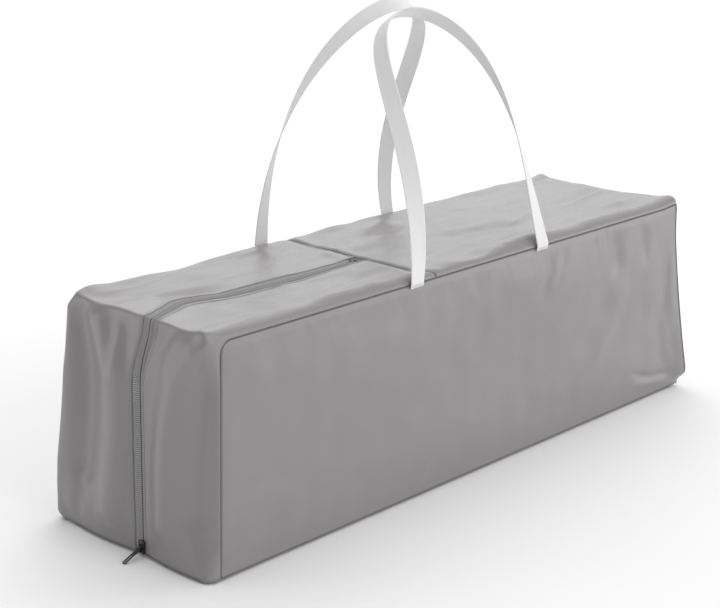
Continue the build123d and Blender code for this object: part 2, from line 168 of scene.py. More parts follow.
TOP_FOLDS = (  # in X and Y
    (-3.0, 12, 0.3, [(-366, 4), (-330, 16), (-290, 10), (-240, 2)]),
    (3.0, 14, 0.3, [(-376, 70), (-330, 60), (-270, 74), (-200, 66)]),
    (2.6, 12, 0.3, [(-366, -70), (-310, -56), (-250, -66)]),
    (-2.4, 12, 0.45, [(-210, 92), (-170, 74), (-124, 66)]),
    (-2.4, 13, 0.3, [(-66, 60), (-10, 44), (70, 60), (130, 90)]),
    (-2.4, 13, 0.3, [(20, -40), (90, -30), (180, -50)]),
    (1.6, 8, 0.3, [(-60, -96), (40, -88), (170, -98)]),
    (1.4, 12, 0.3, [(-40, 70), (120, 52), (260, 78)]),
    (1.5, 15, 0.45, [(240, -92), (320, -66), (388, -20)]),
    (1.5, 13, 0.45, [(290, 96), (350, 74), (396, 40)]),
)


# ---- small tools ----


def smooth(t):
    """0 below 0, 1 above 1 and an S curve between."""
    t = np.clip(t, 0.0, 1.0)
    return t * t * (3.0 - 2.0 * t)


def bump(value, middle, half):
    """A rounded bump of height 1."""
    return np.exp(-(((value - middle) / half) ** 2))


def unit(vectors):
    """Rows of vectors, each made one long."""
    return vectors / np.linalg.norm(vectors, axis=-1, keepdims=True)


def lengths(points):
    """Distances along a line of points from its first."""
    return np.r_[0, np.linalg.norm(np.diff(points, axis=0), axis=1).cumsum()]


def ripple(a, b, wave, seed, stretch=1.0):
    """Uneven waves of about unit height, with wavelengths near wave, drawn out along a by stretch."""
    draw = np.random.default_rng(seed)
    total = 0.0
    for _ in range(11):
        angle = draw.uniform(0, pi)
        pitch = 2 * pi / (wave * draw.uniform(0.65, 1.5))
        total = total + np.sin(pitch * (a / stretch * cos(angle) + b * sin(angle)) + draw.uniform(0, 2 * pi))
    return total / 2.6


def crease(a, b, wave, seed, sharp, stretch=1.0):
    """Thin wandering ridges of unit height."""
    return np.exp(-((ripple(a, b, wave, seed, stretch) / sharp) ** 2))


def fold(a, b, line, half, ends):
    """A long fold of unit height along a line of points, fading at both ends."""
    nearest = np.full(np.shape(a), 1e9)
    place = np.zeros(np.shape(a))
    done = 0.0
    for (a0, b0), (a1, b1) in zip(line, line[1:]):
        long = hypot(a1 - a0, b1 - b0)
        t = np.clip(((a - a0) * (a1 - a0) + (b - b0) * (b1 - b0)) / long**2, 0, 1)
        away = np.hypot(a - a0 - t * (a1 - a0), b - b0 - t * (b1 - b0))
        place = np.where(away < nearest, done + t * long, place)
        nearest = np.minimum(nearest, away)
        done += long
    fade = smooth(place / (ends * done)) * smooth((done - place) / (ends * done))
    return fade * (np.exp(-((nearest / half) ** 2)) - 0.2 * np.exp(-(((nearest - 1.9 * half) / half) ** 2)))


def add_folds(out, a, b, folds):
    """Heights with a table's folds added."""
    for height, half, ends, line in folds:
        out = out + height * fold(a, b, line, half, ends)
    return out


# ---- the bag's surface ----


def left_x(z):
    return -HALF_LONG + LEFT_LEAN * z / HEIGHT


def right_x(z):
    return HALF_LONG - RIGHT_LEAN * z / HEIGHT


def wall_y(z):
    return HALF_WIDE - SIDE_LEAN * z / HEIGHT


def zip_y(z):
    """Where the zip runs up the end."""
    low = ZIP_FOOT_Y + ZIP_DRIFT * z / HEIGHT
    bend = ZIP_FOOT_Y + ZIP_DRIFT * ZIP_BEND_Z / HEIGHT
    back = smooth((z - ZIP_BEND_Z + 10) / (HEIGHT - ZIP_BEND_Z))
    return np.where(z < ZIP_BEND_Z - 10, low, bend + (low - bend) * (1 - back) + (ZIP_TOP_Y - bend) * back)


def seam_gap(x, z):
    """Distance in a long wall from the seam round its panel."""
    left = x - left_x(z) - PANEL_IN_LEFT - WELT / 2
    right = right_x(z) - PANEL_IN_RIGHT - WELT / 2 - x
    top = HEIGHT - PANEL_IN_TOP - WELT / 2 - z
    round_x, round_z = SEAM_ROUND - left, SEAM_ROUND - top
    corner = SEAM_ROUND - np.hypot(np.maximum(round_x, 0), np.maximum(round_z, 0))
    inner = np.where((round_x > 0) & (round_z > 0), corner, np.minimum(left, top))
    return np.minimum(np.minimum(inner, right), z - BASE_SEAM - WELT / 2)


def long_wall_height(x, z, seed):
    """How far a side panel stands out from its flat wall: filled out, rippled and drawn in at the top."""
    gap = seam_gap(x, z)
    out = 2.2 * smooth(gap / 70) + 1.1 * smooth(gap / 9)
    out = out + 1.6 * ripple(x, z, 190, seed, 1.4) * smooth(gap / 50)
    out = out + 0.3 * ripple(x, z, 60, seed + 1, 0.8) * smooth(gap / 30)
    out = out + 0.2 * crease(x, z, 150, seed + 2, 0.3, 0.9) * smooth(gap / 35)
    drawn = smooth(ripple(x, z * 0, 130, seed + 4) * 0.8 + 0.2) * smooth((x + 60) / 120)
    pleats = ripple(x - 0.25 * (HEIGHT - z), z * 0.3, 19, seed + 3)
    near_top = np.exp(-np.maximum(HEIGHT - 10 - z, 0) / 24) * smooth(gap / 7)
    return out + 0.9 * pleats * (0.15 + drawn) * near_top


def front_height(x, z):
    return add_folds(long_wall_height(x, z, 20), x, z, FRONT_FOLDS)


def back_height(x, z):
    return add_folds(long_wall_height(x, z, 60), x, z, BACK_FOLDS)


def end_swell(y, z, height):
    """An end's even outward curve."""
    return height * np.sin(pi * np.clip(z / HEIGHT, 0, 1)) * np.cos(pi * np.clip(y / 260, -0.5, 0.5))


def left_height(y, z):
    return add_folds(end_swell(y, z, 3.5), y, z, LEFT_FOLDS) + 0.5 * ripple(z, y, 55, 7, 2.4)


def right_height(y, z):
    out = add_folds(end_swell(y, z, 4.5), y, z, RIGHT_FOLDS)
    return out + 0.6 * ripple(z, y, 46, 17, 2.2) + 0.5 * crease(z, y, 80, 18, 0.18, 1.8)


def top_height(x, y):
    """The top: puffed beside the zip and the cross seam, with long soft folds."""
    edge = HALF_WIDE - SIDE_LEAN - np.abs(y)
    rim = (1 + 0.45 * ripple(x, 0 * y, 90, 35)) * bump(edge, 10, 10) * smooth(edge / 4)
    out = -1.6 * smooth(edge / 60) + 1.4 * rim
    out = out + 2.2 * bump(x, 120, 150) * smooth(edge / 50) + 1.4 * bump(x, -230, 90) * smooth(edge / 40)
    out = out + 1.4 * ripple(x, y, 60, 31, 3.2) * smooth(edge / 14)
    out = out + 0.3 * ripple(x, y, 24, 32, 2.0) * smooth(edge / 14)
    out = out + 0.6 * crease(x, y, 75, 33, 0.15, 2.6) * smooth(edge / 20)
    out = add_folds(out, x, y, TOP_FOLDS)
    # the cross seam holds the cloth flat, sits in a dip and draws short pleats
    beside = np.abs(x - (CROSS_LOW[0] + CROSS_HIGH[0]) / 2)
    out = out * (1 - 0.85 * bump(beside, 0, 16))
    out = out - 1.0 * np.exp(-((beside / 3.0) ** 2)) + 1.0 * bump(beside, 12, 8)
    out = out + 0.8 * ripple(x * 0.2, y, 20, 34) * np.exp(-beside / 26) * smooth(beside / 5)
    return out - 0.8 * bump(x, 385, 40) * bump(y, 10, 70)


def zip_hold(x, y, z):
    """1 on the zip, where the cloth is held down, fading to 0 beside it."""
    on_end = np.exp(-(((y - zip_y(z)) / 15.0) ** 2)) * smooth((-300 - x) / 60)
    on_top = np.exp(-(((y - ZIP_TOP_Y) / 12.0) ** 2)) * smooth((-84 - x) / 8)
    return np.where(z < HEIGHT - 12, on_end, 0.6 * on_top)


WALL_NORMALS = np.array([
    Vector((-HEIGHT, 0, LEFT_LEAN)).normalized(),
    Vector((HEIGHT, 0, RIGHT_LEAN)).normalized(),
    Vector((0, -HEIGHT, SIDE_LEAN)).normalized(),
    Vector((0, HEIGHT, SIDE_LEAN)).normalized(),
    Vector((0, 0, 1)),
])


def drape(points, groove=1.0):
    """Moves points of the flat-walled form to where the cloth hangs."""
    flat = points.reshape(-1, 3)
    x, y, z = flat.T
    inner = np.stack([x - left_x(z), right_x(z) - x, y + wall_y(z), wall_y(z) - y, HEIGHT - z])
    share = np.exp(-np.clip(inner, 0, 400) / WALL_BLEND)
    share = share / share.sum(axis=0)
    heights = np.stack([left_height(y, z), right_height(y, z), front_height(x, z), back_height(x, z),
                        top_height(x, y)])
    hold = zip_hold(x, y, z)
    heights[0] *= 1 - hold
    heights[4] = heights[4] * (1 - hold) - 0.8 * hold * (z > HEIGHT - 12) * smooth((-84 - x) / 8)
    out = (share * heights).sum(axis=0)
    gap = np.abs(seam_gap(x, z))
    in_wall = smooth((np.abs(y) - wall_y(z) + 7) / 4)
    out = out * (1 - in_wall * np.exp(-((gap / 5.0) ** 2)))
    out = out - groove * GROOVE_DEPTH * in_wall * np.exp(-((gap / GROOVE_HALF) ** 2))
    out = out * smooth((z - 2) / 22)
    way = unit((share[:, :, None] * WALL_NORMALS[:, None, :]).sum(axis=0))
    return pull_corners(flat + way * out[:, None], x, y, z).reshape(points.shape)


def foot_bulge(x, y, z):
    """How far the zipped end's foot swells out on each side of the zip."""
    out = 5.0 * bump(y, 50, 55) + 2.5 * bump(y, -70, 45)
    out = out * (1 - bump(y, ZIP_FOOT_Y, 22)) * smooth((HALF_WIDE - np.abs(y)) / 30)
    return out * smooth((150 - z) / 135) * smooth((-x - 330) / 50)


def pull_corners(moved, x, y, z):
    """The zip's wander near the end, and the corners: some stand out, some are pinched."""
    top_x, top_y = left_x(HEIGHT), wall_y(HEIGHT)
    high = smooth((z - 200) / 50)
    back_edge = bump(x, left_x(z), 16) * bump(y, wall_y(z), 16) * smooth((z + 3) / 14)
    back_out = (6.0 + 4.0 * bump(z, 40, 60)) * (1 - 1.15 * smooth((z - 238) / 16))
    front_edge = bump(x, right_x(z), 15) * bump(y, -wall_y(z), 15) * smooth((z - 2) / 16)
    front_out = 2.0 + 11.0 * np.clip((HEIGHT - z) / 226, 0, 1) ** 2 * smooth((z - 6) / 16)
    pulls = (  # how far in X, Y and Z, and where
        # the zip and the cross seam's front end
        ((0, 19, 0), bump(x, -328, 34) * bump(y, ZIP_TOP_Y + 6, 48) * smooth((z - 232) / 18)),
        ((0, -5, 0), bump(z, HEIGHT, 26) * bump(x, top_x, 16) * bump(y, ZIP_TOP_Y, 36)),
        ((20, 0, 0), bump(x, CROSS_LOW[0] + 6, 26) * smooth((-y - 98) / 14) * smooth((z - 234) / 12)),
        # the right end: front and back ears, and the sag between them
        ((4, 0, 3.4), bump(x, 398, 16) * bump(y, -108, 16) * high),
        ((2, 2, 3.4), bump(x, 400, 14) * bump(y, 112, 13) * high),
        ((0, 0, -1.2), bump(x, 388, 30) * bump(y, 20, 70) * high),
        # the zipped end: foot, back edge, its soft top corner and the sag beyond it
        ((-1, 0, 0), foot_bulge(x, y, z)),
        ((-0.7, 0.7, 0), back_out * back_edge),
        ((2.6, 0, -2.2), bump(x, top_x + 2, 13) * bump(z, HEIGHT, 13) * smooth((y - 62) / 45)),
        ((0, 0, 3), bump(x, top_x + 20, 22) * bump(y, top_y, 22) * high),
        ((0, 0, -4), bump(x, -276, 62) * bump(y, top_y, 30) * high),
        # the front edge at the right, wide at its foot, and the zipped end's front ear
        ((0.7, -0.7, 0), front_out * front_edge),
        ((-1.5, 0, 2.4), bump(x, left_x(z), 12) * bump(y, -106, 13) * high),
    )
    for way, share in pulls:
        moved = moved + share[:, None] * way
    return moved


# ---- meshes ----


def finish_piece(name, vertices, faces, uv, slot, nodes=(), body="bag", look=None):
    """Writes a mesh in metres, gives it its material, hides the CAD nodes that it stands for and hangs it on
    its body.
    """
    mesh = bpy.data.meshes.new(name)
    mesh.from_pydata((np.asarray(vertices) * MM).tolist(), [], [tuple(f) for f in faces])
    mesh.polygons.foreach_set("use_smooth", [True] * len(mesh.polygons))
    if uv is not None:
        layer = mesh.uv_layers.new(name="flat")
        corners = np.empty(len(mesh.loops), dtype=np.int32)
        mesh.loops.foreach_get("vertex_index", corners)
        layer.data.foreach_set("uv", (np.asarray(uv)[corners] * MM).ravel())
    mesh.materials.append(MATERIALS[look or slot])
    piece = bpy.data.objects.new(name, mesh)
    bpy.context.scene.collection.objects.link(piece)
    if nodes:
        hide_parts(*nodes)
    if body:
        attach(piece, body)
    return piece


def grid_faces(rows, columns, start=0, around=False, flip=False):
    """Quads of a grid of points, joined round its columns if around."""
    last = columns if around else columns - 1
    i, j = np.meshgrid(np.arange(rows - 1), np.arange(last), indexing="ij")
    k = (j + 1) % columns
    quads = np.stack([i * columns + j, (i + 1) * columns + j, (i + 1) * columns + k, i * columns + k], -1)
    quads = quads.reshape(-1, 4) + start
    return quads[:, ::-1] if flip else quads


def shell_faces(rows, columns, away):
    """Two grids of points joined round their rims; away if the first one's own normals point outwards."""
    count = rows * columns
    index = np.arange(count).reshape(rows, columns)
    rim = np.concatenate([index[0, :-1], index[:-1, -1], index[-1, :0:-1], index[:0:-1, 0]])
    after = np.roll(rim, -1)
    side = np.stack([rim, after, after + count, rim + count], -1)
    return np.concatenate([grid_faces(rows, columns, 0, flip=not away),
                           grid_faces(rows, columns, count, flip=away), side if away else side[:, ::-1]])


def grid_lengths(points):
    """Distances along a grid of points both ways, for the weave."""
    down = np.linalg.norm(np.diff(points, axis=0, prepend=points[:1]), axis=2).cumsum(axis=0)
    over = np.linalg.norm(np.diff(points, axis=1, prepend=points[:, :1]), axis=2).cumsum(axis=1)
    return np.stack([over.mean(axis=0)[None, :] + 0 * over, down.mean(axis=1)[:, None] + 0 * down], -1)


def cloth_piece(name, points, slot, nodes, thick=CLOTH, inside=MIDDLE):
    """A grid of points made into cloth with a thickness, towards the point called inside."""
    normal = np.cross(np.gradient(points, axis=0), np.gradient(points, axis=1))
    normal = normal / np.maximum(np.linalg.norm(normal, axis=2), 1e-9)[:, :, None]
    away = ((points - inside) * normal).sum() > 0
    lower = points - (normal if away else -normal) * thick
    faces = shell_faces(*points.shape[:2], away)
    uv = grid_lengths(points).reshape(-1, 2)
    vertices = np.concatenate([points.reshape(-1, 3), lower.reshape(-1, 3)])
    return finish_piece(name, vertices, faces, np.concatenate([uv, uv]), slot, nodes)


# ---- materials ----


class Shader:
    """A node material with short ways to add and join nodes."""

    def __init__(self, name):
        self.material = bpy.data.materials.new(name)
        self.material.use_nodes = True
        self.tree = self.material.node_tree
        self.surface = self.tree.nodes["Principled BSDF"]

    def add(self, kind, **settings):
        node = self.tree.nodes.new(kind)
        for key, value in settings.items():
            setattr(node, key, value)
        return node

    def join(self, source, target):
        self.tree.links.new(source, target)

    def math(self, operation, a, b=None):
        node = self.add("ShaderNodeMath", operation=operation)
        for socket, value in zip(node.inputs, (a, b)):
            if value is None:
                continue
            if isinstance(value, (int, float)):
                socket.default_value = value
            else:
                self.join(value, socket)
        return node.outputs[0]

    def noise(self, place, scale, detail=2.0):
        node = self.add("ShaderNodeTexNoise")
        node.inputs["Scale"].default_value = scale
        node.inputs["Detail"].default_value = detail
        self.join(place, node.inputs["Vector"])
        return node.outputs["Fac"]

    def blend_colours(self, share, dark, light):
        node = self.add("ShaderNodeMix", data_type="RGBA")
        self.join(share, node.inputs[0])
        node.inputs[6].default_value = (*dark, 1)
        node.inputs[7].default_value = (*light, 1)
        return node.outputs[2]

    def set(self, name, value):
        self.surface.inputs[name].default_value = value

    def bump(self, height, strength, distance):
        node = self.add("ShaderNodeBump")
        node.inputs["Strength"].default_value = strength
        node.inputs["Distance"].default_value = distance
        self.join(height, node.inputs["Height"])
        self.join(node.outputs[0], self.surface.inputs["Normal"])


def grey(level, tint=0.0):
    """A grey from its level, with a little mauve in it."""
    return (level * (1 + 0.5 * tint), level * (1 - tint), level * (1 - 0.2 * tint))


def woven(name, level, across_mm, along_mm, relief, spread=0.09, sheen=0.2, rough=0.85, gloss=0.25,
          tint=0.03):
    """Cloth: a weave from the piece's own lengths, with its colour mottled by spread each way."""
    shader = Shader(name)
    place = shader.add("ShaderNodeTexCoord")
    parts = shader.add("ShaderNodeSeparateXYZ")
    shader.join(place.outputs["UV"], parts.inputs[0])
    warp = shader.math("SINE", shader.math("MULTIPLY", parts.outputs[0], 2 * pi / (across_mm * MM)))
    weft = shader.math("SINE", shader.math("MULTIPLY", parts.outputs[1], 2 * pi / (along_mm * MM)))
    weave = shader.math("MULTIPLY", warp, weft)
    clouds = shader.noise(place.outputs["Object"], 9.0, 3.0)
    flecks = shader.noise(place.outputs["Object"], 1400.0, 1.0)
    share = shader.math("ADD", shader.math("MULTIPLY", clouds, 0.6), shader.math("MULTIPLY", flecks, 0.4))
    share = shader.math("ADD", share, shader.math("MULTIPLY", weave, 0.12))
    colour = shader.blend_colours(share, grey(level * (1 - spread), tint), grey(level * (1 + spread), tint))
    shader.join(colour, shader.surface.inputs["Base Color"])
    height = shader.math("ADD", weave, shader.math("MULTIPLY", flecks, 0.6))
    shader.bump(height, relief, 0.00025)
    shader.set("Roughness", rough)
    shader.set("Sheen Weight", sheen)
    shader.set("Sheen Roughness", 0.45)
    shader.set("Specular IOR Level", gloss)
    return shader.material


def moulded(name, level, rough, grain, metal=0.0, coat=0.0):
    """Plastic, enamel or metal with a fine grain."""
    shader = Shader(name)
    place = shader.add("ShaderNodeTexCoord")
    grains = shader.noise(place.outputs["Object"], grain, 3.0)
    clouds = shader.noise(place.outputs["Object"], 30.0, 2.0)
    shader.join(shader.blend_colours(clouds, grey(level * 0.9), grey(level * 1.1)),
                shader.surface.inputs["Base Color"])
    shader.bump(grains, 0.25, 0.0001)
    worn = shader.math("ADD", shader.math("MULTIPLY", clouds, 0.16), rough - 0.08)
    shader.join(worn, shader.surface.inputs["Roughness"])
    shader.set("Metallic", metal)
    shader.set("Coat Weight", coat)
    return shader.material


def make_materials():
    return {
        "bag_cloth": woven("bag_cloth", 0.235, 0.55, 0.55, 0.12, sheen=0.05, rough=0.33, gloss=0.75),
        # seam_binding is made far darker than the cloth it is cut from: painted shade for the seam grooves.
        # The same material also colours the cross seam tape and the zip end tab.
        "seam_binding": woven("seam_binding", 0.11, 0.7, 0.9, 0.3, rough=0.7),
        "zip_tape": woven("zip_tape", 0.28, 0.9, 0.5, 0.3, sheen=0.0, gloss=0.1),
        # The coil's level is raised to cancel the shade in the zip's recess: painted light.
        "zip_coil": moulded("zip_coil", 0.40, 0.6, 900.0),
        "zip_metal": moulded("zip_metal", 0.018, 0.3, 700.0, coat=0.3),
        "webbing": woven("webbing", 0.86, 1.7, 1.3, 0.6, 0.03, 0.15, 0.75, tint=0),
        "thread": woven("thread", 0.62, 0.3, 0.3, 0.5, 0.07),
        "stitching": woven("stitching", 0.27, 0.3, 0.3, 0.5, 0.07, rough=0.6),
        "mattress_cover": woven("mattress_cover", 0.3, 1.1, 1.1, 0.5),
        "pack_strap": woven("pack_strap", 0.05, 1.5, 1.5, 0.6),
        "moulding": moulded("moulding", 0.05, 0.5, 500.0),
        "frame_tube": moulded("frame_tube", 0.62, 0.32, 260.0, metal=1.0),
        "mesh_wall": woven("mesh_wall", 0.45, 2.2, 2.2, 1.0),
    }


MATERIALS = make_materials()


# ---- gusset: top and ends ----


def corner_arc(centre, radius, start, end, count):
    """Points on an arc in X and Z between two angles in degrees."""
    angles = np.radians(np.linspace(start, end, count))
    return np.stack([centre[0] + radius * np.cos(angles), centre[1] + radius * np.sin(angles)], -1)


def run(a, b):
    """Evenly spaced points from a to b, without the last."""
    count = max(2, int(round(np.linalg.norm(np.subtract(b, a)) / CLOTH_STEP)))
    return np.linspace(a, b, count, endpoint=False)


def band_route():
    """The band's outer line, in X and Z: the zipped part from its foot and the closed part to its foot."""
    r = CORNER_ROUND
    tilt_left = np.degrees(np.arctan(LEFT_LEAN / HEIGHT))
    tilt_right = np.degrees(np.arctan(RIGHT_LEAN / HEIGHT))
    centre_left = (left_x(HEIGHT - r) + r, HEIGHT - r)
    centre_right = (right_x(HEIGHT - r) - r, HEIGHT - r)
    turn_left = corner_arc(centre_left, r, 180 - tilt_left, 90, 8)
    turn_right = corner_arc(centre_right, r, 90, tilt_right, 8)
    foot_left, foot_right = (left_x(BASE_SEAM), BASE_SEAM), (right_x(BASE_SEAM), BASE_SEAM)
    lap = 0.3 * (CROSS_HIGH[0] - CROSS_LOW[0])
    cross = (CROSS_LOW[0] + lap, HEIGHT)
    cross_end = (CROSS_HIGH[0] - lap, HEIGHT)
    zipped = np.concatenate([run(foot_left, turn_left[0]), turn_left[:-1], run(turn_left[-1], cross),
                             [cross]])
    closed = np.concatenate([[cross_end], run(cross_end, turn_right[0])[1:], turn_right[:-1],
                             run(turn_right[-1], foot_right), [foot_right]])
    return zipped, closed


def seam_point(outer):
    """The point of the side seam that belongs to each point of the outer line."""
    x, z = outer.T
    top_z = HEIGHT - PANEL_IN_TOP - TUCK
    r = CORNER_ROUND
    centre = np.array([left_x(top_z - SEAM_ROUND) + PANEL_IN_LEFT + SEAM_ROUND, top_z - SEAM_ROUND])
    corner_right = np.array([right_x(top_z) - PANEL_IN_RIGHT - SEAM_ROUND_RIGHT, top_z - SEAM_ROUND_RIGHT])
    arc_x, arc_right_x = left_x(HEIGHT) + r, right_x(HEIGHT) - r
    up = np.interp(z, [BASE_SEAM, 170, HEIGHT - r], [BASE_SEAM, 170, centre[1]])
    up_right = np.interp(z, [BASE_SEAM, 200, HEIGHT - r], [BASE_SEAM, 200, corner_right[1]])
    along = np.interp(x, [arc_x, arc_x + 70, arc_right_x - 50, arc_right_x],
                      [centre[0], arc_x + 70, arc_right_x - 50, corner_right[0]])
    left_side = x < 0
    share = np.where(left_side, smooth_turn(x - arc_x, z, r), smooth_turn(arc_right_x - x, z, r))
    radius = np.where(left_side, SEAM_ROUND, SEAM_ROUND_RIGHT)
    mid = np.where(left_side[:, None], centre, corner_right)
    sign = np.where(left_side, -1, 1)
    angle = share * pi / 2
    turned = mid + np.stack([sign * radius * np.cos(angle), radius * np.sin(angle)], -1)
    on_end = z <= HEIGHT - r
    end_x = np.where(left_side, left_x(up) + PANEL_IN_LEFT, right_x(up_right) - PANEL_IN_RIGHT)
    ends = np.stack([end_x, np.where(left_side, up, up_right)], -1)
    tops = np.stack([along, np.full_like(along, top_z)], -1)
    in_turn = ~on_end & (np.where(left_side, x < arc_x, x > arc_right_x))
    return np.where(on_end[:, None], ends, np.where(in_turn[:, None], turned, tops))


def smooth_turn(beyond, z, r):
    """How far round the corner arc a point is, 0 at the end and 1 at the top."""
    return np.clip(np.arctan2(z - (HEIGHT - r), np.maximum(-beyond, 1e-6)) / (pi / 2), 0, 1)


def route_normals(outer):
    """Outward directions of the outer line, in X and Z."""
    way = unit(np.gradient(outer, axis=0))
    return np.stack([-way[:, 1], way[:, 0]], -1)


def band_points(outer, columns):
    """Points of the band. A column is ("roll", side, turn) or ("flat", start, end, share, depth)."""
    seam = seam_point(outer)
    grid = np.zeros((len(outer), len(columns), 3))
    normals = route_normals(outer)
    thinner = 1 - 0.5 * smooth((outer[:, 1] - HEIGHT + 30) / 25)  # a hem is half as deep on the top
    for j, column in enumerate(columns):
        if column[0] == "roll":
            side, turn = column[1:]
            sharp = 0.8 * turned_end(outer) * (side < 0)
            share = (1 - sin(turn)) * (1 - sharp) + (1 - turn / (pi / 2)) * sharp
            place = outer + (seam - outer) * share[:, None]
            drop = (1 - cos(turn)) * (1 - sharp) + turn / (pi / 2) * sharp
            y = side * (wall_y(place[:, 1]) - roll_width(outer, side) * drop)
        else:
            start, end, share, depth = column[1:]
            place = outer - normals * (depth * thinner)[:, None]
            first, last = band_edge(outer, start), band_edge(outer, end)
            y = first + (last - first) * share
        grid[:, j] = np.stack([place[:, 0], y, place[:, 1]], -1)
    return grid


def turned_end(outer):
    """1 on the zipped end, fading to 0 towards the top and the floor."""
    return smooth((238 - outer[:, 1]) / 40) * smooth((outer[:, 1] - 2) / 45) * (outer[:, 0] < 0)


def roll_width(outer, side):
    """The roll takes more of the zipped end's front edge, which is less crisp."""
    tight = 3.5 * bump(outer[:, 0], left_x(HEIGHT), 20) * smooth((outer[:, 1] - 225) / 25)
    wide = 4.0 * smooth((outer[:, 0] - left_x(HEIGHT) - 30) / 60)
    return ROLL + wide + (19.0 * turned_end(outer) - tight) * (side < 0)


def band_edge(outer, edge):
    """Y of a line along the band: beside a long wall, or a distance from the zip."""
    z = outer[:, 1]
    if edge == "front":
        return -(wall_y(z) - roll_width(outer, -1))
    if edge == "back":
        return wall_y(z) - roll_width(outer, 1)
    side, beyond = edge
    return zip_centre(outer) + side * (slot_half(z, side) + beyond)


def slot_half(z, side):
    """The slot's width on one side: the cloth in front of the zip laps nearer to it up the end."""
    end = SLOT_END[0 if side < 0 else 1]
    return end + (SLOT_HALF - end) * smooth((z - 178) / 55)


def zip_centre(outer):
    """The zip's place in Y at each point of the outer line."""
    return np.where(outer[:, 1] < HEIGHT - 1e-6, zip_y(outer[:, 1]), ZIP_TOP_Y)


def roll_columns(side, count=10):
    """Columns round the edge between a long wall and the band, from the seam outwards."""
    return [("roll", side, pi / 2 * k / count) for k in range(count)]


def flat_columns(start, end, width):
    """Even columns from one line to another; the width only sets how many."""
    count = int(round(width / CLOTH_STEP))
    return [("flat", start, end, k / count, 0.0) for k in range(count + 1)]


def hem_columns(side):
    """The cloth's turned-under edge beside the zip."""
    turned = [(-0.35, 0.25), (-0.5, 0.7), (-0.1, 1.1), (4, 1.15)] if side < 0 else [
        (-0.5, 0.12), (-0.8, 0.3), (-0.8, 0.5), (4, 0.95)]
    return [("flat", (side, beyond), (side, beyond), 0.0, depth) for beyond, depth in turned]


def whole_columns(count=10):
    """Columns from one long wall's seam to the other's, where there is no zip."""
    return roll_columns(-1, count) + flat_columns("front", "back", 205) + roll_columns(1, count)[::-1]


def make_band():
    """The zipped gusset's two halves and the closed gusset."""
    zipped, closed = band_route()
    front = roll_columns(-1) + flat_columns("front", (-1, 0), 84) + hem_columns(-1)
    back = hem_columns(1)[::-1] + flat_columns((1, 0), "back", 122) + roll_columns(1)[::-1]
    for name, outer, columns, flat in (("zip_gusset_front", zipped, front, (0.57, 0.11)),
                                       ("zip_gusset_back", zipped, back, (0.57, 0.15)),
                                       ("closed_gusset", closed, whole_columns(), (0.73, 0.26))):
        piece = cloth_piece("cloth_" + name, drape(band_points(outer, columns)), "bag_cloth", [name])


# ---- side panels and base ----


def panel_grid(side):
    """A side panel's points: rows up the wall, cut to the seam's outline, closer near its edges."""
    low, high = BASE_SEAM + WELT - TUCK, HEIGHT - PANEL_IN_TOP - WELT + TUCK
    even = np.linspace(0, 1, 78)
    rows = low + (high - low) * (even - 0.06 * np.sin(2 * pi * even))
    columns = np.linspace(0, 1, 250)
    columns = columns - 0.012 * np.sin(2 * pi * columns)

    def cut(r):
        """How far the round top corner takes each row in."""
        rise = np.maximum(0.0, z - (high - r))
        return r - (r * r - rise * rise) ** 0.5

    z, share = np.meshgrid(rows, columns, indexing="ij")
    start = left_x(z) + PANEL_IN_LEFT + WELT - TUCK + cut(SEAM_ROUND - WELT)
    end = right_x(z) - PANEL_IN_RIGHT - WELT + TUCK - cut(SEAM_ROUND_RIGHT - WELT)
    return np.stack([start + (end - start) * share, side * wall_y(z), z], -1)


def make_side_panels():
    for side, name in SIDES:
        piece = cloth_piece("cloth_side_panel_" + name, drape(panel_grid(side)), "bag_cloth",
                            ["side_panel_" + name])


def seam_route():
    """The side seam's closed line, in X and Z."""
    inset = WELT / 2
    low, high = BASE_SEAM + inset, HEIGHT - PANEL_IN_TOP - inset
    r, q, f = SEAM_ROUND - inset, SEAM_ROUND_RIGHT, 4.0
    l0, l1 = left_x(low) + PANEL_IN_LEFT + inset, left_x(high - r) + PANEL_IN_LEFT + inset
    r0, r1 = right_x(low) - PANEL_IN_RIGHT - inset, right_x(high - q) - PANEL_IN_RIGHT - inset
    return np.concatenate([
        run((l0, low + f), (l1, high - r)), corner_arc((l1 + r, high - r), r, 180, 90, 12)[:-1],
        run((l1 + r, high), (r1 - q, high)), corner_arc((r1 - q, high - q), q, 90, 0, 8)[:-1],
        run((r1, high - q), (r0, low + f)), corner_arc((r0 - f, low + f), f, 0, -90, 6)[:-1],
        run((r0 - f, low), (l0 + f, low)), corner_arc((l0 + f, low + f), f, 270, 180, 6)[:-1],
    ])


def make_seam_bindings():
    """Round binding in the groove between each side panel and the band."""
    line = seam_route()
    way = unit(np.roll(line, -1, axis=0) - np.roll(line, 1, axis=0))
    over = np.stack([-way[:, 1], way[:, 0]], -1)
    rows, sides = len(line), 8
    angle = 2 * pi * np.arange(sides) / sides
    x, z = np.moveaxis(line[:, None] + over[:, None] * (BINDING_WIDE * np.cos(angle))[:, None], -1, 0)
    out = BINDING_THICK * np.sin(angle) - BINDING_IN
    for side, name in SIDES:
        grid = np.stack([x, side * (wall_y(z) + out), z], -1)
        points = drape(grid, groove=0.0)
        faces = grid_faces(rows + 1, sides, around=True, flip=side > 0) % (rows * sides)
        uv = grid_lengths(np.concatenate([points, points[:1]]))[:rows].reshape(-1, 2)
        # The binding's dark material is painted shade for the seam groove.
        finish_piece("piping_" + name, points.reshape(-1, 3), faces, uv, "seam_binding",
                     ["seam_binding_" + name])


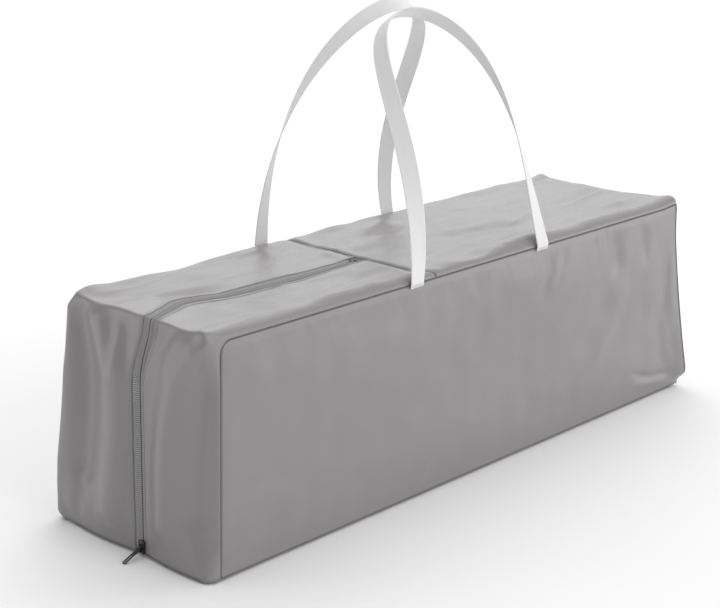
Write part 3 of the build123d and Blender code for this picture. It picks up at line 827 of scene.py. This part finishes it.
def make_base():
    """The base cloth: flat on the floor, turned up to the base seam all round."""
    across = np.linspace(-1, 1, 72)
    across = across * (1 + 0.05 * (1 - np.abs(across)))
    along = np.linspace(-1, 1, 210)
    along = along * (1 + 0.02 * (1 - np.abs(along)))
    s, t = np.meshgrid(along, across, indexing="ij")
    x, y = s * HALF_LONG, t * HALF_WIDE
    over_x = np.maximum(np.abs(x) - (HALF_LONG - BASE_ROUND), 0)
    over_y = np.maximum(np.abs(y) - (HALF_WIDE - BASE_ROUND), 0)
    reach = np.maximum(np.hypot(over_x, over_y), 1e-9)
    pull = np.where((over_x > 0) & (over_y > 0), np.maximum(over_x, over_y) / reach, 1.0)
    x = np.sign(x) * (np.abs(x) - over_x * (1 - pull))
    y = np.sign(y) * (np.abs(y) - over_y * (1 - pull))
    edge = np.minimum(HALF_LONG * (1 - np.abs(s)), HALF_WIDE * (1 - np.abs(t)))
    rise = np.clip(1 - edge / BASE_TURN, 0, 1)
    z = 0.3 + (BASE_SEAM + 0.6) * (1 - np.sqrt(1 - rise**2))
    points = np.stack([x - foot_bulge(x, y, z), y, z], -1)
    piece = cloth_piece("cloth_base_panel", points, "bag_cloth", ["base_panel"], -CLOTH * 0.3,
                        np.array([0, 0, 900.0]))


# ---- zip ----


def zip_frames():
    """The zip's middle line with its outward directions and lengths along it."""
    outer = band_route()[0]
    centre = np.stack([outer[:, 0], zip_centre(outer), outer[:, 1]], -1)
    normals = route_normals(outer)
    out = np.stack([normals[:, 0], 0 * normals[:, 0], normals[:, 1]], -1)
    return centre, out, lengths(centre)


ZIP_CENTRE, ZIP_OUT, ZIP_ALONG = zip_frames()
ZIP_LONG = ZIP_ALONG[-1]
COIL_LONG = ZIP_LONG - (CROSS_LOW[0] - COIL_END_X)


def on_zip(along, across, out):
    """Places from distances along the zip, across it towards the back and out of the cloth."""
    along, across, out = np.broadcast_arrays(along, across, out)
    shape = along.shape
    along, across, out = along.ravel(), across.ravel(), out.ravel()
    pick = lambda table: np.stack([np.interp(along, ZIP_ALONG, table[:, k]) for k in range(3)], -1)
    centre, normal = pick(ZIP_CENTRE), pick(ZIP_OUT)
    way = pick(np.gradient(ZIP_CENTRE, ZIP_ALONG, axis=0))
    side = np.cross(way, normal)
    side = side * np.sign(side[:, 1])[:, None] / np.linalg.norm(side, axis=1)[:, None]
    spot = centre + side * across[:, None]
    return (drape(spot) + normal * out[:, None]).reshape(*shape, 3)


def make_tapes():
    """Ribbed tape on each side, with the cord that the coil is sewn to."""
    rows = np.arange(0, ZIP_LONG, 2.5)
    for side, name in SIDES:
        across = side * np.array([0.8, 1.4, 2.4, 3.2, 4.0, 5.0, 6.5, 8.0, 10.0, 12.0, TAPE_HALF])
        lift = np.array([0, 0.25, 0.35, 0.2, 0, 0.1, 0.3, 0.5, 0.7, 0.7, 0.5]) * (1.2 if side > 0 else 0.9)
        along, over = np.meshgrid(rows, across, indexing="ij")
        points = on_zip(along, over, lift - TAPE_DEPTH)
        cloth_piece("tape_" + name, points, "zip_tape", ["zip_tape_" + name], TAPE_THICK)


def make_coils():
    """Ribs of the covered coil, each lying across its tape."""
    sections, sides = 7, 6
    for side, name in SIDES:
        starts = np.arange(5.5 + (side > 0) * RIB_PITCH / 2, COIL_LONG, RIB_PITCH)
        z = np.interp(starts, ZIP_ALONG, ZIP_CENTRE[:, 2])
        reach = np.where(side < 0, 4.0, slot_half(z, 1) - RIB_SLOT_GAP)
        t = np.linspace(0, 1, sections)
        height = -1.4 + 0.72 * np.sqrt(np.sin(pi * (0.06 + 0.86 * t)))
        height = height + (0.65 if side > 0 else 0) * (1 - t) ** 2
        thick = RIB_HALF * np.where((t == 0) | (t == 1), 0.6, 0.95)
        angle = 2 * pi * np.arange(sides) / sides
        along = starts[:, None, None] + (thick[:, None] * np.cos(angle))[None]
        out = (height[:, None] + 0.8 * thick[:, None] * np.sin(angle))[None] + 0 * along
        over = side * (reach[:, None] + (RIB_IN - reach[:, None]) * t)[:, :, None] + 0 * along
        points = on_zip(along, over, out)
        count = sections * sides
        one = grid_faces(sections, sides, around=True)
        faces = (one[None] + (np.arange(len(starts)) * count)[:, None, None]).reshape(-1, 4).tolist()
        for k in range(len(starts)):
            faces.append(list(range(k * count, k * count + sides)))
            faces.append(list(range((k + 1) * count - 1, (k + 1) * count - 1 - sides, -1)))
        finish_piece("coil_" + name, points.reshape(-1, 3), faces, None, "zip_coil", ["zip_coil_" + name])


def make_zip_ends():
    """The stop clamped over the coils' top end and the cloth tab that covers the tapes there."""
    angle = np.linspace(-pi / 2, pi / 2, 9)
    along, turn = np.meshgrid(COIL_LONG + np.array([-0.2, 0.0, 0.4, 2.4, 2.8, 3.0]), angle, indexing="ij")
    swell = np.array([0.7, 0.92, 1.0, 1.0, 0.92, 0.7])[:, None]
    points = on_zip(along, 3.3 * np.sin(turn) * swell, (1.6 * np.cos(turn) - 1.2) * swell)
    cloth_piece("stop_top", points, "zip_metal", ["zip_top_stop"], 0.4)
    over = np.linspace(-8.5, 8.5, 13)
    along, over = np.meshgrid(np.linspace(COIL_LONG + 4.5, ZIP_LONG + 0.5, 8), over, indexing="ij")
    points = on_zip(along, over, 0.5 * np.cos(pi * over / 17) - 0.55)
    cloth_piece("tab_zip_end", points, "seam_binding", ["zip_end_tab"])


def make_cross_seam():
    """A flat tape sewn over the seam across the top."""
    x0, x1 = CROSS_LOW[0] - 0.3, CROSS_HIGH[0] + 0.3
    outer = np.stack([np.linspace(x0, x1, 7), np.full(7, HEIGHT)], -1)
    points = drape(band_points(outer, whole_columns(12)))
    lift = 0.75 * np.sqrt(np.clip(1 - np.linspace(-1, 1, 7) ** 2, 0, 1)) - 0.75
    normal = unit(np.cross(np.gradient(points, axis=0), np.gradient(points, axis=1)))
    normal = normal * np.sign((normal * points).sum())
    points = points + normal * lift[:, None, None]
    # Its dark seam_binding material is painted shade for the cross seam's line.
    cloth_piece("tape_cross_seam", points, "seam_binding", ["cross_seam"], 0.6)


def make_threads(name, runs, place, look, slot):
    """Rows of stitches. A run is two points in the place function's first two distances."""
    sides, rings = 6, 5
    spots, faces = [], []
    for (a0, b0), (a1, b1) in runs:
        long = hypot(a1 - a0, b1 - b0)
        way = ((a1 - a0) / long, (b1 - b0) / long)
        count = max(1, round(long / STITCH))
        for k in range(count):
            first = len(spots)
            for ring in range(rings):
                t = ring / (rings - 1)
                at = long * (k + 0.12 + 0.76 * t) / count
                swell = THREAD * (0.5 + 0.5 * sin(pi * t))
                for q in range(sides):
                    over = swell * 1.3 * cos(2 * pi * q / sides)
                    up = swell * (0.5 + sin(2 * pi * q / sides))
                    spots.append((a0 + way[0] * at - way[1] * over, b0 + way[1] * at + way[0] * over, up))
            faces.extend(grid_faces(rings, sides, first, around=True).tolist())
    spots = np.array(spots)
    finish_piece(name, place(*spots.T), faces, None, slot, look=look)


def make_zip_stitching():
    """A line of stitches through each turned edge beside the zip and on each side of the cross seam."""
    runs = [((4, side * 2.2), (ZIP_LONG - 4, side * 2.2)) for side in (-1, 1)]

    def beside_slot(along, over, up):
        z = np.interp(along, ZIP_ALONG, ZIP_CENTRE[:, 2])
        half = np.where(over < 0, slot_half(z, -1), slot_half(z, 1))
        return on_zip(along, over + np.sign(over) * half, up)

    make_threads("stitches_zip", runs, beside_slot, "stitching", "bag_cloth")
    reach = wall_y(HEIGHT) - 14
    seams = [((x, -reach), (x, reach)) for x in (CROSS_LOW[0] - 2.4, CROSS_HIGH[0] + 2.4)]

    def on_top(x, y, up):
        return drape(np.stack([x, y, np.full_like(x, HEIGHT)], -1)) + np.stack([0 * x, 0 * x, up], -1)

    make_threads("stitches_cross_seam", seams, on_top, "stitching", "bag_cloth")


# ---- handles ----


def arch_point(points, t):
    """A point on a degree 5 curve, and the direction there."""
    place = sum(comb(5, i) * t**i * (1 - t) ** (5 - i) * points[i] for i in range(6))
    way = sum(comb(4, i) * t**i * (1 - t) ** (4 - i) * (points[i + 1] - points[i]) for i in range(5))
    return place, way / np.linalg.norm(way)


def strap_frames(feet, arch, side):
    """Places along a handle with the directions across the webbing and out of its face."""
    hinge_y = side * (wall_y(HINGE_Z) + HINGE_OUT)
    ends = [np.array((x, hinge_y, HINGE_Z)) for x in feet]
    points = [ends[0]] + [np.array(p, float) for p in arch] + [ends[1]]
    fine = np.linspace(0, 1, 400)
    steps = np.array([arch_point(points, t)[0] for t in fine])
    along = lengths(steps)
    count = 150
    frames = []
    for k in range(count + 1):
        share = 2 * k / count - 1
        place, way = arch_point(points, np.interp(along[-1] * k / count, along, fine))
        lean = radians(LEAN_TOP) * (1 - share**2)
        across = np.array((0, cos(lean), side * sin(lean)))
        across = across - way * (way @ across)
        across = across / np.linalg.norm(across)
        outward = np.cross(way, across)
        ease = (share**2 + TWIST_EASE**2) ** 0.5 - TWIST_EASE
        turn = pi / 2 * ease / ((1 + TWIST_EASE**2) ** 0.5 - TWIST_EASE)
        face = outward * cos(turn) + across * (side * sin(turn))
        frames.append((place, np.cross(way, face), face))
    return frames


def foot_out(z):
    """How far the webbing's middle stands out from the wall, from its cut edge up to the hinge."""
    return FOOT_OUT + (HINGE_OUT - FOOT_OUT) * smooth((z - 240) / 9)


def foot_frames(x, side, rising):
    """The webbing's sewn end, from its cut edge up to the hinge, or down again."""
    heights = np.linspace(FOOT_LOW, FOOT_TOP - 1.5, 7)
    flat = np.array((0, side * HEIGHT, SIDE_LEAN)) / hypot(HEIGHT, SIDE_LEAN)
    width = np.array((-side if rising else side, 0.0, 0.0))
    frames = [(np.array((x, side * (wall_y(z) + foot_out(z)), z)), width, flat) for z in heights]
    return frames if rising else frames[::-1]


def webbing_profile():
    """Half the webbing's thickness at places across it: rounded, with thicker selvedges."""
    across = np.array([-1, -0.985, -0.93, -0.84, -0.7, -0.35, 0, 0.35, 0.7, 0.84, 0.93, 0.985, 1])
    half = np.array([0.18, 0.62, 0.94, 0.98, 0.8, 0.78, 0.78, 0.78, 0.8, 0.98, 0.94, 0.62, 0.18])
    return across * STRAP_WIDE / 2, half * STRAP_THICK / 2


def make_handle(name, feet, arch, side):
    """One length of webbing: sewn end, quarter turn up, arch, quarter turn down and sewn end."""
    loop = strap_frames(feet, arch, side)
    first = foot_frames(feet[0], side, True)
    last = foot_frames(feet[1], side, False)
    frames = first + loop + last
    across, half = webbing_profile()
    over = np.concatenate([across, across[::-1] + STRAP_WIDE])
    across, half = np.concatenate([across, across[::-1]]), np.concatenate([half, -half[::-1]])
    place, width, face = (np.array(part) for part in zip(*frames))
    points = place[:, None] + width[:, None] * across[:, None] + face[:, None] * half[:, None]
    count = points.shape[1]
    faces = grid_faces(len(points), count, around=True).tolist()
    faces.append(list(range(count - 1, -1, -1)))
    faces.append(list(range((len(points) - 1) * count, len(points) * count)))
    along = lengths(place)
    uv = np.stack(np.broadcast_arrays(over, along[:, None]), -1)
    piece = finish_piece("webbing_" + name, points.reshape(-1, 3), faces, uv.reshape(-1, 2), "webbing",
                         ["handle_" + name, "handle_feet_" + name], body=None)
    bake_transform(piece)


def make_foot_stitching(name, feet, side):
    """Three close rows of stitches where each end of a handle is sewn into the seam."""
    runs = [((x - 8.4, z), (x + 8.4, z)) for x in feet
            for z in (FOOT_LOW + 1.1, FOOT_LOW + 2.3, FOOT_LOW + 3.5)]

    def on_foot(x, z, up):
        return np.stack([x, side * (wall_y(z) + foot_out(z) + STRAP_THICK * 0.39 + up), z], -1)

    make_threads("stitches_handle_" + name, runs, on_foot, "thread", "webbing")


# ---- the folded playpen inside ----


def make_mattress_panel(name):
    """A padded board: crowned, with pulled-in edges and sewn channels across it."""
    low, high = box_mm(name)
    size, middle = high - low, (low + high) / 2
    thin = int(np.argmin(size))
    wide = 3 - thin
    s, t = np.meshgrid(np.linspace(-1, 1, 90), np.linspace(-1, 1, 26), indexing="ij")
    edge = np.minimum((1 - np.abs(s)) * size[0] / 2, (1 - np.abs(t)) * size[wide] / 2)
    swell = np.sqrt(np.clip(1 - np.clip(1 - edge / 9, 0, 1) ** 2, 0, 1))
    channels = 1 - 0.28 * np.exp(-((((s + 1) * 4) % 2 - 1) / 0.04) ** 2)
    half = 0.48 * size[thin] * np.maximum(swell * channels, 0.06)
    sheets = []
    for sign in (1, -1):
        grid = np.zeros((*s.shape, 3))
        grid[..., 0] = middle[0] + s * size[0] / 2 * 0.997
        grid[..., wide] = middle[wide] + t * size[wide] / 2 * 0.99
        grid[..., thin] = middle[thin] + sign * half
        sheets.append(grid)
    uv = np.stack([(s + 1) * size[0] / 2, (t + 1) * size[wide] / 2], -1).reshape(-1, 2)
    vertices = np.concatenate([sheet.reshape(-1, 3) for sheet in sheets])
    piece = finish_piece("padded_" + name, vertices, shell_faces(*s.shape, thin != 1),
                         np.concatenate([uv, uv]), "mattress_cover", [name])


def make_pack_strap(name):
    """A hook-and-loop strap round the mattress."""
    low, high = box_mm(name)
    half_y, z0, z1 = high[1] - 0.6, low[2] + 0.6, high[2] - 0.6
    r = 3.2
    corners = [((half_y - r, z1 - r), 90, 0), ((half_y - r, z0 + r), 0, -90),
               ((-half_y + r, z0 + r), 270, 180), ((-half_y + r, z1 - r), 180, 90)]
    ring = np.concatenate([corner_arc(centre, r, a, b, 7) for centre, a, b in corners])
    line = np.concatenate([ring, ring[:1]])
    across = np.linspace(low[0], high[0], 9)
    points = np.stack(np.broadcast_arrays(across, line[:, :1], line[:, 1:]), -1)
    cloth_piece("band_" + name, points, "pack_strap", [name], 0.7,
                np.array([(low[0] + high[0]) / 2, 0, (z0 + z1) / 2]))


def make_folded_walls():
    """The mesh walls, laid to and fro in a stack of folds."""
    low, high = box_mm("folded_mesh_walls")
    layers = 9
    rise = (high[2] - low[2] - 6) / (layers - 1)
    half = high[1] - 8
    line = []
    for k in range(layers):
        z = low[2] + 3 + k * rise
        way = 1 if k % 2 == 0 else -1
        reach = half - 3.0 * (k % 3)
        line += [(way * y, z + 0.8 * sin(y / 9.0 + k)) for y in np.linspace(-half, reach, 22)]
        if k < layers - 1:
            line += [(way * (reach + rise / 2 * sin(a)), z + rise / 2 * (1 - cos(a)))
                     for a in (0.6, 1.2, 1.9, 2.5)]
    line = np.array(line)
    across = np.linspace(low[0] + 2, high[0] - 2, 60)
    points = np.stack(np.broadcast_arrays(across + 1.5 * np.sin(line[:, 1:] / 11), line[:, :1],
                                          line[:, 1:] + 0.5 * np.sin(across / 14)), -1)
    piece = cloth_piece("folded_walls", points, "mesh_wall", ["folded_mesh_walls"], 0.8, np.zeros(3))


# ---- studio ----


def add_light(name, kind, energy, away):
    """A light that shines from the direction called away."""
    light = bpy.data.lights.new(name, kind)
    light.energy = energy
    lamp = bpy.data.objects.new(name, light)
    lamp.rotation_euler = Vector(away).to_track_quat("Z", "Y").to_euler()
    bpy.context.scene.collection.objects.link(lamp)
    return lamp


def add_sun(name, away, energy, spread):
    add_light(name, "SUN", energy, away).data.angle = radians(spread)


def add_panel(name, place, aim, size, power):
    """A rectangular light at a place, facing a point."""
    lamp = add_light(name, "AREA", power, Vector(place) - Vector(aim))
    lamp.location = place
    lamp.data.shape = "RECTANGLE"
    lamp.data.size, lamp.data.size_y = size


def make_studio():
    """Pale floor, soft light from above and in front, and panels for the cloth's satin bands."""
    shader = Shader("studio_floor")
    place = shader.add("ShaderNodeTexCoord")
    colour = shader.blend_colours(shader.noise(place.outputs["Object"], 2.0), grey(0.955), grey(0.965))
    shader.join(colour, shader.surface.inputs["Base Color"])
    shader.set("Roughness", 0.9)
    shader.set("Specular IOR Level", 0.1)
    mesh = bpy.data.meshes.new("studio_floor")
    reach = 20.0
    mesh.from_pydata([(-reach, -reach, 0), (reach, -reach, 0), (reach, reach, 0), (-reach, reach, 0)],
                     [], [(0, 1, 2, 3)])
    mesh.materials.append(shader.material)
    floor = bpy.data.objects.new("studio_floor", mesh)
    bpy.context.scene.collection.objects.link(floor)
    make_world()
    bpy.context.scene.view_settings.view_transform = "Standard"
    add_sun("above", (0.3, 0.4, 1.0), 1.24, 75)
    add_sun("side", (0.15, -1.0, 0.45), 0.7, 30)
    add_panel("back", (1.9, 2.1, 1.15), (0, 0, 0.2), (2.2, 0.7), 7.5)
    add_panel("left", (-2.2, 1.7, 0.5), (-0.4, 0, 0.12), (0.5, 0.8), 5.5)
    add_panel("right", (1.9, -1.5, 0.5), (0.2, -0.1, 0.12), (0.5, 0.8), 6)
    add_panel("far_floor", (5.0, 5.0, 4.0), (5.0, 4.999, 0), (6.0, 6.0), 22)


def make_world():
    """A white room that is brighter on the right and towards the front."""
    world = bpy.data.worlds.new("studio")
    world.use_nodes = True
    tree = world.node_tree
    place = tree.nodes.new("ShaderNodeTexCoord")
    dot = tree.nodes.new("ShaderNodeVectorMath")
    dot.operation = "DOT_PRODUCT"
    dot.inputs[1].default_value = (0.28, -0.1, 0.0)
    tree.links.new(place.outputs["Generated"], dot.inputs[0])
    add = tree.nodes.new("ShaderNodeMath")
    add.operation = "ADD"
    add.inputs[1].default_value = 0.56
    tree.links.new(dot.outputs["Value"], add.inputs[0])
    tree.links.new(add.outputs[0], tree.nodes["Background"].inputs["Strength"])
    tree.nodes["Background"].inputs["Color"].default_value = (1, 1, 1, 1)
    bpy.context.scene.world = world


def make_camera():
    azimuth, elevation = radians(-46.77), radians(18.34)
    target = Vector((0, 0, HEIGHT / 2 * MM))
    away = 7.65 * HEIGHT * MM
    back = Vector((sin(azimuth) * cos(elevation), -cos(azimuth) * cos(elevation), sin(elevation)))
    lens = bpy.data.cameras.new("camera")
    lens.lens = 81.8
    lens.sensor_width = 36
    lens.shift_x = -0.0556
    lens.shift_y = 0.0569
    lens.clip_end = 100
    camera = bpy.data.objects.new("camera", lens)
    camera.location = target + back * away
    camera.rotation_euler = back.to_track_quat("Z", "Y").to_euler()
    bpy.context.scene.collection.objects.link(camera)
    bpy.context.scene.camera = camera


def paint_nodes():
    """The CAD nodes that stay get their slot's material."""
    for part in frame["record"]["subparts"]:
        node = frame["nodes"][part["node"]]
        node.data.materials.clear()
        node.data.materials.append(MATERIALS[part["material_slot"]])


paint_nodes()
make_studio()
make_camera()
make_band()
make_side_panels()
make_seam_bindings()
make_base()
make_tapes()
make_coils()
make_zip_ends()
make_cross_seam()
make_zip_stitching()
make_handle("front", FRONT_FEET, FRONT_ARCH, -1)
make_handle("back", BACK_FEET, BACK_ARCH, 1)
make_foot_stitching("front", FRONT_FEET, -1)
make_foot_stitching("back", BACK_FEET, 1)
for board in ("base", "front", "top", "back"):
    make_mattress_panel("mattress_panel_" + board)
for strap in ("left", "right"):
    make_pack_strap("mattress_strap_" + strap)
make_folded_walls()
